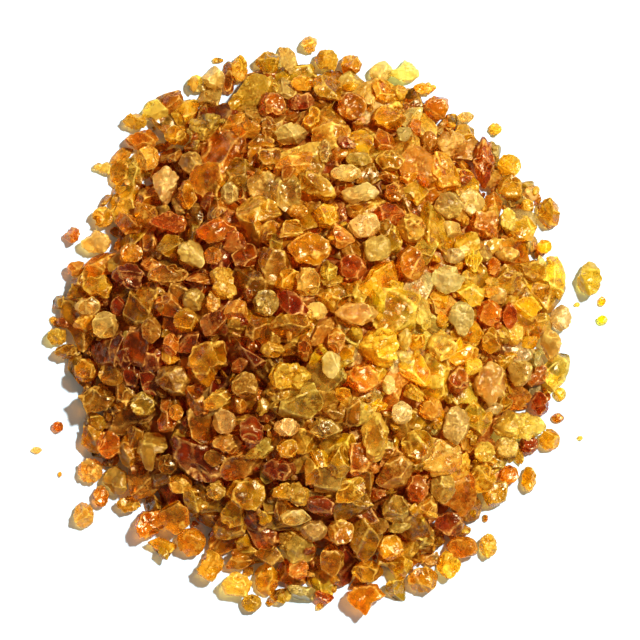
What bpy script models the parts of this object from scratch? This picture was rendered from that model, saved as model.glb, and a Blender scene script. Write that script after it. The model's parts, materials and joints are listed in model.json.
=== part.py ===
"""A loose heap of crushed rosin: large granules lying on a bed of small ones.

Metres, with +Z up. The origin is on the surface that the heap stands on, at the middle of
the heap's box. +Y is towards the rear of the heap and +X towards its right.

The bed is one solid mound that stands for all the small granules. Each large granule is a
broken lump of its own. Near the rim a granule stands on the surface beside the bed, and
elsewhere it lies in a pocket of the bed, so that it can be picked straight up.
"""

import math
import random

import bmesh
import bpy
from mathutils import Vector, noise
from mathutils.bvhtree import BVHTree
from mathutils.geometry import delaunay_2d_cdt

MM = 0.001

# The heap as poured
CROWN_HEIGHT = 26.0 * MM
SLOPE_POWER = 1.7
HEAP_MIDDLE = (-2.1 * MM, -1.0 * MM)
# Distance from the heap's middle to its foot, every 30 degrees from +X, anticlockwise
FOOT_REACHES = [reach * MM for reach in (51, 54, 56, 58, 56, 50, 54, 56, 53, 55, 57, 52)]

# The bed of small granules
BED_SETBACK = 3.0 * MM
BED_BELOW_SKIN = 1.2 * MM
BED_THINNEST = 0.8 * MM
BED_SPACING = 2.05 * MM
BED_POINT_SHAKE = 0.3 * MM
FOOT_POINTS = 220
FOOT_STEP = 0.2 * MM
FOOT_RAGGEDNESS = 1.0 * MM
FOOT_RAGGED_TIMES = 9.0
SMALL_GRAIN = 4.5 * MM
GRAIN_BULGE = 2.6 * MM
GRAIN_ROUGHNESS = 0.5 * MM
WALL_SHARE_OF_SPACING = 0.55

# How a large granule lies
BURIED_SHARE = 0.62
LOWEST_IN_BED = 1.3 * MM
POCKET_GAP = 0.45 * MM
POCKET_PROBES = [0.9 * MM, 1.8 * MM, 2.8 * MM]
PROBES_ROUND = 12
FOOT_GAP = 1.1 * MM
NEIGHBOUR_GAP = 0.5 * MM
NEIGHBOUR_RANGE = 20 * MM

# How a lump of resin breaks: share of its height and share of its outline, from the bottom up
LUMP_RINGS = [(0.0, 0.62), (0.2, 0.9), (0.52, 1.0), (0.8, 0.87), (1.0, 0.52)]
WIDEST_RING = 2
RING_WOBBLE = 0.08
CORNER_SWING = math.radians(9)
CAP_TILT = 0.16
CHIPS = 4
CHIP_DEPTH = (0.80, 0.92)
CHIP_RISE = (math.radians(35), math.radians(65))

# Points closer than this count as one
WELD = 1e-6
TRIANGULATION_WELD = 1e-7

# sRGB colour and roughness of each tone of resin
TONES = {
    "pale": ((0.86, 0.74, 0.46), 0.42),
    "straw": ((0.88, 0.74, 0.34), 0.38),
    "yellow": ((0.90, 0.70, 0.16), 0.30),
    "golden": ((0.83, 0.59, 0.17), 0.32),
    "tan": ((0.80, 0.59, 0.33), 0.42),
    "amber": ((0.85, 0.50, 0.11), 0.28),
    "orange": ((0.80, 0.39, 0.08), 0.26),
    "red_brown": ((0.55, 0.21, 0.07), 0.24),
    "dark_red": ((0.36, 0.10, 0.04), 0.22),
    "brown": ((0.55, 0.35, 0.12), 0.34),
    "smoky": ((0.66, 0.54, 0.34), 0.36),
    "mixed": ((0.71, 0.47, 0.17), 0.36),
}

# Name, tone, x, y and height, then the reach of the outline from (x, y) towards
# +X, +X+Y, +Y, -X+Y, -X, -X-Y, -Y and +X-Y: all in millimetres
EDGE_GRANULES = [
    ("left_tip_granule", "straw", -53.8, -2.4, 3.8, (1.6, 2.0, 1.8, 2.2, 2.2, 2.0, 1.8, 2.0)),
    ("left_orange_granule", "orange", -50.9, 18.0, 3.6, (1.6, 2.0, 1.8, 1.2, 2.0, 1.4, 1.6, 1.6)),
    ("left_pale_granule", "pale", -45.9, 16.4, 5.0, (3.0, 2.8, 2.8, 2.4, 3.4, 2.6, 2.0, 2.6)),
    ("left_golden_granule", "golden", -45.7, 7.6, 5.2, (3.2, 3.2, 2.2, 3.0, 3.0, 2.6, 1.8, 3.2)),
    ("left_brown_granule", "brown", -45.5, -14.6, 5.4, (3.8, 2.8, 3.0, 3.0, 4.0, 4.0, 2.8, 3.2)),
    ("rear_left_orange_granule", "orange", -36.7, 37.4, 5.0, (3.4, 2.6, 1.8, 2.4, 3.8, 2.6, 2.0, 2.8)),
    ("rear_left_yellow_granule", "golden", -38.1, 41.0, 4.2, (2.4, 1.8, 1.8, 2.4, 2.6, 2.0, 1.6, 2.6)),
    ("rear_left_pale_granule", "pale", -22.3, 49.8, 5.0, (2.6, 2.4, 2.6, 2.0, 2.4, 2.4, 2.4, 2.8)),
    ("rear_amber_granule", "amber", -11.5, 52.8, 5.2, (2.4, 2.8, 2.6, 2.2, 2.6, 2.2, 2.6, 2.8)),
    ("rear_straw_round_granule", "straw", -3.1, 56.6, 3.8, (1.6, 2.0, 1.9, 1.8, 1.6, 1.4, 1.8, 1.8)),
    ("rear_golden_granule", "golden", 0.5, 53.6, 4.8, (2.6, 2.2, 2.0, 2.2, 2.6, 2.6, 2.0, 2.8)),
    ("rear_golden_round_granule", "golden", 5.3, 52.6, 4.6, (2.4, 2.4, 2.0, 2.2, 2.2, 2.4, 2.2, 2.4)),
    ("rear_pale_crystal", "pale", 16.3, 50.6, 5.0, (3.0, 2.6, 3.0, 1.8, 3.2, 1.8, 1.8, 2.2)),
    ("rear_right_orange_granule", "orange", 22.5, 43.8, 5.6, (2.6, 3.2, 2.6, 2.6, 2.8, 2.8, 2.8, 2.8)),
    ("red_brown_shard", "red_brown", 32.1, 32.8, 6.0, (2.4, 2.6, 5.6, 2.0, 2.6, 2.6, 5.6, 2.2)),
    ("right_amber_granule", "amber", 45.3, 22.6, 5.4, (2.4, 2.6, 3.2, 3.0, 2.4, 2.6, 3.4, 3.0)),
    ("right_pale_granule", "pale", 47.7, 1.6, 4.4, (2.4, 2.4, 2.6, 2.2, 2.2, 2.4, 3.0, 2.6)),
    ("right_tan_granule", "tan", 45.5, -3.6, 5.0, (2.4, 2.4, 3.0, 2.4, 2.0, 2.0, 4.0, 2.8)),
    ("right_dark_red_granule", "dark_red", 43.3, -15.6, 4.4, (2.0, 1.8, 2.4, 2.0, 1.6, 2.0, 3.2, 2.8)),
    ("broad_straw_granule", "straw", 39.1, -20.4, 6.0, (6.6, 3.4, 2.8, 4.0, 6.2, 3.6, 2.6, 3.6)),
    ("front_right_amber_granule", "amber", 34.5, -34.2, 5.0, (2.6, 3.4, 2.6, 2.4, 2.8, 2.8, 2.6, 2.4)),
    ("front_right_orange_granule", "orange", 27.9, -44.8, 5.4, (3.2, 2.8, 2.2, 2.8, 3.6, 2.8, 2.4, 3.0)),
    ("front_orange_granule", "orange", 8.3, -54.4, 5.6, (4.2, 3.2, 2.0, 2.8, 4.0, 3.6, 4.1, 2.2)),
    ("front_straw_granule", "straw", -17.7, -52.4, 5.0, (3.2, 2.8, 2.8, 2.6, 3.4, 3.0, 2.4, 3.2)),
    ("front_golden_granule", "golden", -23.1, -48.6, 5.2, (3.0, 3.4, 3.4, 2.4, 2.4, 3.2, 3.4, 2.4)),
    ("front_left_orange_granule", "orange", -35.1, -40.2, 6.0, (3.0, 3.4, 2.8, 3.2, 3.2, 3.6, 2.8, 2.4)),
    ("front_left_straw_granule", "straw", -48.7, -38.4, 4.6, (2.2, 2.6, 2.8, 2.4, 2.2, 2.4, 2.8, 2.6)),
    ("front_left_tan_granule", "tan", -42.1, -31.4, 5.2, (2.6, 2.8, 3.0, 3.0, 2.8, 2.0, 3.0, 3.2)),
    ("stray_granule", "golden", 53.5, 9.4, 5.0, (2.5, 3.0, 3.6, 2.6, 2.6, 3.0, 3.6, 3.0)),
]

TOP_GRANULES = [
    ("tan_shard", "pale", -31.9, 28.2, 5.4, (2.4, 3.4, 3.8, 3.2, 2.6, 2.6, 4.6, 2.6)),
    ("tan_cap_granule", "tan", -26.7, 32.6, 5.0, (2.6, 2.4, 2.4, 2.4, 2.6, 2.4, 2.8, 2.0)),
    ("wide_red_brown_granule", "red_brown", -30.9, 20.6, 5.0, (3.6, 2.4, 2.4, 2.4, 4.4, 2.6, 2.2, 3.6)),
    ("pale_lens_granule", "pale", -6.7, 38.2, 5.0, (3.4, 2.6, 2.4, 2.4, 3.4, 2.8, 2.0, 2.8)),
    ("round_orange_granule", "amber", -10.9, 33.2, 5.2, (2.8, 2.8, 2.4, 2.6, 2.8, 2.8, 2.8, 3.0)),
    ("long_golden_granule", "golden", -1.9, 28.0, 5.4, (3.2, 2.2, 2.4, 4.4, 4.0, 2.6, 2.4, 5.4)),
    ("golden_lens_granule", "golden", 12.9, 41.6, 5.0, (3.8, 2.2, 2.2, 3.2, 3.8, 2.4, 2.4, 3.2)),
    ("pale_kidney_granule", "pale", 6.9, 26.2, 4.6, (4.0, 2.8, 1.6, 1.8, 3.8, 3.0, 1.8, 2.2)),
    ("dented_golden_granule", "golden", -13.7, 22.2, 6.4, (5.6, 4.4, 3.8, 3.6, 4.2, 3.8, 7.2, 2.2)),
    ("straw_wedge_granule", "straw", 16.9, 19.4, 5.6, (3.4, 3.0, 3.2, 2.4, 3.0, 2.6, 3.2, 3.6)),
    ("large_tan_granule", "tan", 25.5, 36.4, 5.8, (3.4, 3.2, 3.0, 3.0, 3.2, 2.8, 3.2, 3.4)),
    ("round_tan_granule", "tan", 24.7, 23.8, 5.6, (3.2, 3.0, 3.0, 2.8, 3.2, 3.0, 3.0, 3.0)),
    ("glossy_red_granule", "orange", 31.9, 20.2, 5.4, (3.0, 3.6, 2.4, 3.2, 3.0, 2.8, 2.6, 3.4)),
    ("pale_oval_granule", "pale", -26.7, 14.4, 4.6, (2.8, 2.8, 2.6, 2.8, 2.6, 2.4, 2.6, 4.0)),
    ("dark_red_granule", "dark_red", -39.3, 9.8, 5.2, (3.6, 2.8, 2.6, 3.0, 3.6, 2.8, 2.6, 3.8)),
    ("large_golden_granule", "golden", -23.3, -7.0, 6.4, (4.4, 5.2, 4.0, 3.8, 4.0, 3.8, 5.6, 3.0)),
    ("brown_window_granule", "brown", -29.9, -10.8, 5.6, (3.6, 3.2, 2.8, 3.8, 3.8, 3.0, 3.6, 4.0)),
    ("hooked_amber_granule", "amber", -3.3, 15.2, 6.2, (5.0, 3.8, 3.2, 3.4, 4.2, 3.6, 3.0, 4.4)),
    ("deep_orange_granule", "orange", 16.7, 12.0, 5.6, (3.2, 3.6, 4.0, 3.2, 2.8, 2.8, 3.6, 3.6)),
    ("pink_slab_granule", "tan", 6.5, 2.2, 5.0, (4.4, 2.8, 2.2, 3.0, 4.8, 2.4, 2.2, 2.6)),
    ("yellow_cluster_granule", "yellow", 10.7, -4.2, 6.2, (4.0, 4.4, 4.0, 4.0, 4.0, 3.6, 4.0, 5.0)),
    ("yellow_crust_granule", "yellow", -6.5, -10.0, 5.6, (4.0, 3.0, 2.6, 4.0, 4.8, 4.0, 2.4, 3.2)),
    ("pale_block_granule", "pale", 24.3, 9.2, 5.6, (3.6, 3.0, 2.8, 3.0, 3.4, 3.0, 3.2, 3.2)),
    ("large_pink_tan_granule", "tan", 33.3, -11.6, 6.2, (2.8, 4.0, 4.4, 3.6, 3.6, 3.6, 4.8, 3.6)),
    ("striated_smoky_granule", "smoky", 26.3, -20.0, 5.8, (3.0, 3.6, 4.0, 3.6, 2.8, 3.4, 4.0, 3.0)),
    ("straw_block_granule", "straw", 23.3, -4.2, 5.4, (3.2, 2.8, 3.4, 3.2, 3.2, 2.8, 3.2, 3.0)),
    ("notched_kidney_granule", "tan", -34.9, -24.6, 5.0, (3.7, 3.8, 3.4, 2.8, 2.8, 2.8, 4.8, 1.7)),
    ("broad_golden_granule", "golden", -15.5, -33.4, 6.0, (4.0, 4.0, 3.0, 3.6, 4.2, 3.6, 3.6, 4.2)),
    ("long_golden_sliver", "golden", -6.5, -33.4, 4.8, (3.6, 2.8, 1.8, 2.8, 4.2, 2.2, 1.8, 4.0)),
]

GRANULES = EDGE_GRANULES + TOP_GRANULES


def smooth_reach(reaches, angle):
    """Distance to a closed outline at an angle, eased between its evenly spaced reaches."""
    step = angle / math.tau % 1.0 * len(reaches)
    low = int(step)
    ease = 0.5 - 0.5 * math.cos(math.pi * (step - low))
    near = reaches[low % len(reaches)]
    far = reaches[(low + 1) % len(reaches)]
    return near + (far - near) * ease


def heap_height(x, y):
    """Height of the heap's skin: an angle of repose at the foot, and a rounded crown."""
    dx, dy = x - HEAP_MIDDLE[0], y - HEAP_MIDDLE[1]
    share = math.hypot(dx, dy) / smooth_reach(FOOT_REACHES, math.atan2(dy, dx))
    return CROWN_HEIGHT * max(0.0, 1.0 - share**SLOPE_POWER)


def resin(name, tone):
    """One Principled material in the tone's colour."""
    colour, roughness = TONES[tone]
    material = bpy.data.materials.new(name)
    material.use_nodes = True
    shader = material.node_tree.nodes["Principled BSDF"]
    linear = [channel**2.2 for channel in colour]
    shader.inputs["Base Color"].default_value = (*linear, 1.0)
    shader.inputs["Roughness"].default_value = roughness
    shader.inputs["Metallic"].default_value = 0.0
    material.diffuse_color = (*linear, 1.0)
    return material


def add_object(name, mesh, tone, place):
    """A named object at its place, in its own material."""
    mesh.materials.append(resin(name, tone))
    item = bpy.data.objects.new(name, mesh)
    item.location = place
    bpy.context.scene.collection.objects.link(item)
    return item


def cut(lump, point, outward):
    """Break off what lies beyond a plane, and close the broken face."""
    geometry = lump.verts[:] + lump.edges[:] + lump.faces[:]
    result = bmesh.ops.bisect_plane(
        lump, geom=geometry, plane_co=point, plane_no=outward, dist=WELD, clear_outer=True
    )
    rim = [item for item in result["geom_cut"] if isinstance(item, bmesh.types.BMEdge)]
    if rim:
        bmesh.ops.contextual_create(lump, geom=rim)


def outline_points(reaches, rng):
    """Corners of a granule's outline in plan, one for each reach, swung a little off the compass."""
    corners = []
    for index, reach in enumerate(reaches):
        angle = math.tau * index / len(reaches)
        if index % 2:
            angle += rng.uniform(-CORNER_SWING, CORNER_SWING)
        corners.append(Vector((math.cos(angle), math.sin(angle))) * reach)
    return corners


def support(corners, direction):
    """How far an outline reaches in a direction."""
    return max(corner.dot(direction) for corner in corners)


def lump_mesh(corners, height, rng):
    """A broken lump: rings of the outline with flat caps, then a few chips off its upper edge."""
    lump = bmesh.new()
    tilt = Vector((rng.uniform(-CAP_TILT, CAP_TILT), rng.uniform(-CAP_TILT, CAP_TILT)))
    rings = []
    for level, (rise, share) in enumerate(LUMP_RINGS):
        ring = []
        for corner in corners:
            wobble = 0.0 if level == WIDEST_RING else rng.uniform(-RING_WOBBLE, RING_WOBBLE)
            place = corner * (share * (1.0 - wobble))
            z = (rise - 0.5) * height
            if level == len(LUMP_RINGS) - 1:
                z += tilt.dot(place)
            ring.append(lump.verts.new((place.x, place.y, z)))
        rings.append(ring)
    for lower, upper in zip(rings, rings[1:]):
        for index in range(len(corners)):
            after = (index + 1) % len(corners)
            lump.faces.new((lower[index], lower[after], upper[after], upper[index]))
    lump.faces.new(reversed(rings[0]))
    lump.faces.new(rings[-1])
    for _ in range(CHIPS):
        around = rng.uniform(0.0, math.tau)
        rise = rng.uniform(*CHIP_RISE)
        outward = Vector(
            (math.cos(around) * math.cos(rise), math.sin(around) * math.cos(rise), math.sin(rise))
        )
        reach = max(vert.co.dot(outward) for vert in lump.verts)
        cut(lump, outward * reach * rng.uniform(*CHIP_DEPTH), outward)
    return lump


def granule_base(x, y, height):
    """Height of a granule's underside: in the bed, or down on the surface near the rim."""
    base = heap_height(x, y) - BURIED_SHARE * height
    return base if base > LOWEST_IN_BED else 0.0


def make_granules():
    """Every large granule, parted from its near neighbours by flat faces with a gap."""
    rows = []
    for index, (name, tone, x, y, height, reaches) in enumerate(GRANULES):
        rng = random.Random(100 + index)
        corners = outline_points([reach * MM for reach in reaches], rng)
        rows.append((name, tone, Vector((x, y)) * MM, height * MM, corners, rng))
    made = []
    for name, tone, middle, height, corners, rng in rows:
        lump = lump_mesh(corners, height, rng)
        for other in rows:
            apart = other[2] - middle
            if other[0] == name or apart.length > NEIGHBOUR_RANGE:
                continue
            direction = apart.normalized()
            mine = support(corners, direction)
            theirs = support(other[4], -direction)
            if mine + theirs + NEIGHBOUR_GAP > apart.length:
                share = mine / (mine + theirs)
                limit = direction * (apart.length * share - NEIGHBOUR_GAP / 2)
                cut(lump, limit.to_3d(), direction.to_3d())
        bmesh.ops.recalc_face_normals(lump, faces=lump.faces[:])
        mesh = bpy.data.meshes.new(name)
        lump.to_mesh(mesh)
        lump.free()
        base = granule_base(middle.x, middle.y, height)
        place = (middle.x, middle.y, base + height / 2)
        made.append((add_object(name, mesh, tone, place), corners, base))
    return made


def granule_trees(made):
    """A search tree, the middle and the reach of each large granule, in world space."""
    trees = []
    for item, corners, base in made:
        points = [vert.co + item.location for vert in item.data.vertices]
        faces = [tuple(face.vertices) for face in item.data.polygons]
        reach = max(corner.length for corner in corners)
        trees.append((BVHTree.FromPolygons(points, faces), item.location, reach, base))
    return trees


def on_a_foot_granule(x, y, made):
    """Whether a point is under, or too near, a granule that stands on the surface."""
    for item, corners, base in made:
        if base > 0.0:
            continue
        offset = Vector((x - item.location.x, y - item.location.y))
        reaches = [corner.length for corner in corners]
        reach = smooth_reach(reaches, math.atan2(offset.y, offset.x))
        if offset.length < reach + FOOT_GAP:
            return True
    return False


def bed_outline(made):
    """The bed's foot: the heap's outline set back, and notched round the granules on the surface."""
    outline = []
    for index in range(FOOT_POINTS):
        angle = math.tau * index / FOOT_POINTS
        way = Vector((math.cos(angle), math.sin(angle)))
        ragged = FOOT_RAGGEDNESS * noise.noise(way.to_3d() * FOOT_RAGGED_TIMES)
        limit = smooth_reach(FOOT_REACHES, angle) - BED_SETBACK + ragged
        reach = limit / 2
        while reach < limit:
            x, y = Vector(HEAP_MIDDLE) + way * (reach + FOOT_STEP)
            if on_a_foot_granule(x, y, made):
                break
            reach += FOOT_STEP
        outline.append(Vector(HEAP_MIDDLE) + way * reach)
    return outline


def bed_points(outline, rng):
    """A jittered triangular grid of plan points, kept clear of the bed's outline."""
    rows = int(2 * max(FOOT_REACHES) / (BED_SPACING * math.sqrt(3) / 2))
    clear = BED_SPACING * WALL_SHARE_OF_SPACING
    points = []
    for row in range(-rows // 2, rows // 2 + 1):
        for column in range(-rows // 2, rows // 2 + 1):
            x = HEAP_MIDDLE[0] + (column + 0.5 * (row % 2)) * BED_SPACING
            y = HEAP_MIDDLE[1] + row * BED_SPACING * math.sqrt(3) / 2
            shake = [rng.uniform(-BED_POINT_SHAKE, BED_POINT_SHAKE) for _ in range(2)]
            point = Vector((x, y)) + Vector(shake)
            offset = point - Vector(HEAP_MIDDLE)
            turn = math.atan2(offset.y, offset.x) / math.tau % 1.0 * FOOT_POINTS
            near = [outline[int(turn + side) % FOOT_POINTS] for side in (-1, 0, 1, 2)]
            reach = min((corner - Vector(HEAP_MIDDLE)).length for corner in near)
            if offset.length < reach - clear:
                points.append(point)
    return points


def bed_height(point, trees, rng):
    """The bed's height: the heap's skin with a granular relief, kept under every granule in it."""
    from_grain_middle = noise.voronoi(Vector((point.x, point.y, 0.0)) / SMALL_GRAIN)[0][0]
    height = heap_height(point.x, point.y) - BED_BELOW_SKIN
    height += GRAIN_BULGE * (0.5 - from_grain_middle) + rng.uniform(-1, 1) * GRAIN_ROUGHNESS
    probes = [point]
    for spread in POCKET_PROBES:
        for index in range(PROBES_ROUND):
            angle = math.tau * index / PROBES_ROUND
            probes.append(point + Vector((math.cos(angle), math.sin(angle))) * spread)
    for tree, middle, reach, base in trees:
        if base <= 0.0 or (point - middle.xy).length > reach + POCKET_PROBES[-1]:
            continue
        for probe in probes:
            hit = tree.ray_cast(Vector((probe.x, probe.y, -1.0)), Vector((0.0, 0.0, 1.0)))[0]
            if hit:
                height = min(height, hit.z - POCKET_GAP)
    return max(height, BED_THINNEST)


def make_bed(made):
    """The bed of small granules: a closed mound with pockets for the large ones."""
    rng = random.Random(7)
    trees = granule_trees(made)
    outline = bed_outline(made)
    plan = outline + bed_points(outline, rng)
    loop = list(range(len(outline)))
    plan, _, triangles, _, _, _ = delaunay_2d_cdt(plan, [], [loop], 1, TRIANGULATION_WELD)
    bed = bmesh.new()
    top = [bed.verts.new((p.x, p.y, bed_height(p, trees, rng))) for p in plan]
    for corners in triangles:
        bed.faces.new([top[index] for index in corners])
    rim = [edge for edge in bed.edges if edge.is_boundary]
    wall = bmesh.ops.extrude_edge_only(bed, edges=rim)["geom"]
    foot = [item for item in wall if isinstance(item, bmesh.types.BMVert)]
    for vert in foot:
        vert.co.z = 0.0
    underside = [edge for edge in bed.edges if edge.is_boundary]
    bmesh.ops.contextual_create(bed, geom=underside)
    bmesh.ops.recalc_face_normals(bed, faces=bed.faces[:])
    mesh = bpy.data.meshes.new("small_granule_bed")
    bed.to_mesh(mesh)
    bed.free()
    return add_object("small_granule_bed", mesh, "mixed", (0.0, 0.0, 0.0))


def main():
    for item in list(bpy.data.objects):
        bpy.data.objects.remove(item, do_unlink=True)
    made = make_granules()
    make_bed(made)


main()
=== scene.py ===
"""The looks of a heap of crushed rosin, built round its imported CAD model.

The CAD model has one mound for all the small granules and one solid for each large granule.
Here every large granule is broken, chipped and dusted inside its own CAD outline, and the
mound is replaced by about nine hundred separate granules, most of them dropped one by one
onto a height map of the heap. Lengths are in millimetres until a mesh is made.
"""

import json
import math

import bmesh
import bpy
import numpy as np
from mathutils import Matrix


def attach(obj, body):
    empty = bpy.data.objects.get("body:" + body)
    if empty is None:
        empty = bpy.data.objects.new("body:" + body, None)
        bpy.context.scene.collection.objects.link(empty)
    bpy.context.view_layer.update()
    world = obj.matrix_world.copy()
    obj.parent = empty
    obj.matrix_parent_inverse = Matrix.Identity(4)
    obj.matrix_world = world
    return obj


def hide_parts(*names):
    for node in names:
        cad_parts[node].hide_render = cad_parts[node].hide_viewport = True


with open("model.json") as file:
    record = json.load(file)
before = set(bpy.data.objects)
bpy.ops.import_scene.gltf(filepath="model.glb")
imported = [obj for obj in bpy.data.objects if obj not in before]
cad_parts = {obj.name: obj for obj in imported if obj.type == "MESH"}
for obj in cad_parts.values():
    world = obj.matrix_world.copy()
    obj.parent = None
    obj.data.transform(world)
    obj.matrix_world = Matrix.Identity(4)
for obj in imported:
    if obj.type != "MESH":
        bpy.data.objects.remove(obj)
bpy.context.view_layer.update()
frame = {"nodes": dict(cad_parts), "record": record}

MM = 0.001
SEED = 20

# The heap as poured, the same as in the CAD source
CROWN_HEIGHT = 26.0
SLOPE_POWER = 1.7
HEAP_MIDDLE = (-2.1, -1.0)
# Distance from the heap's middle to its foot, every 30 degrees from +X, anticlockwise
FOOT_REACHES = (51, 54, 56, 58, 56, 50, 54, 56, 53, 55, 57, 52)
# Distance from the middle within which small granules lie, every 15 degrees from +X
LOOSE_REACHES = (
    51.5, 51, 51, 52.5, 53.5, 54.5, 56, 57.5, 56.5, 56, 51, 50,
    53, 50.5, 50.5, 53, 53, 57, 55, 56.5, 55, 51.5, 50.5, 51,
)
# How much that distance varies, as a share of it, and over what length
LOOSE_RAGGEDNESS = 0.02
LOOSE_RAGGED_LENGTH = 9.0
# How much of a placed granule is below the heap's skin, and the lowest that it then floats at
BURIED_SHARE = 0.62
LOWEST_IN_BED = 1.3

# The map that granules are dropped on: its cells and half its sides
CELL = 0.25
MAP_HALF = (62.0, 64.0)
# Depth of the dark core under the heap's skin, whose dark red-brown paints the shade inside the heap
CORE_DEPTH = 5.0
# Height of the top layer at the heap's foot
RIM_HEIGHT = 3.6
# How high the heap's skin swells, and over what length
SKIN_WAVES = 0.7
SKIN_WAVELENGTH = 11.0

# Triangles in a granule, as subdivisions of an icosahedron
LARGE, MEDIUM, SMALL, CRUMB = 5, 4, 3, 2

BED_NODE = "small_granule_bed"
BED_SLOT = "mixed"

# Linear colour of each tone of resin, from the darkest to the palest, and its share of the heap
TONES = {
    "dark_red": ((0.380, 0.045, 0.002), 0.04),
    "red_brown": ((0.500, 0.110, 0.003), 0.07),
    "brown": ((0.500, 0.210, 0.006), 0.08),
    "orange": ((0.640, 0.225, 0.004), 0.12),
    "amber": ((0.640, 0.300, 0.006), 0.18),
    "golden": ((0.670, 0.355, 0.008), 0.25),
    "smoky": ((0.540, 0.360, 0.100), 0.02),
    "tan": ((0.600, 0.370, 0.070), 0.05),
    "yellow": ((0.800, 0.450, 0.006), 0.08),
    "straw": ((0.760, 0.490, 0.065), 0.10),
    "pale": ((0.770, 0.570, 0.200), 0.06),
}

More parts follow.
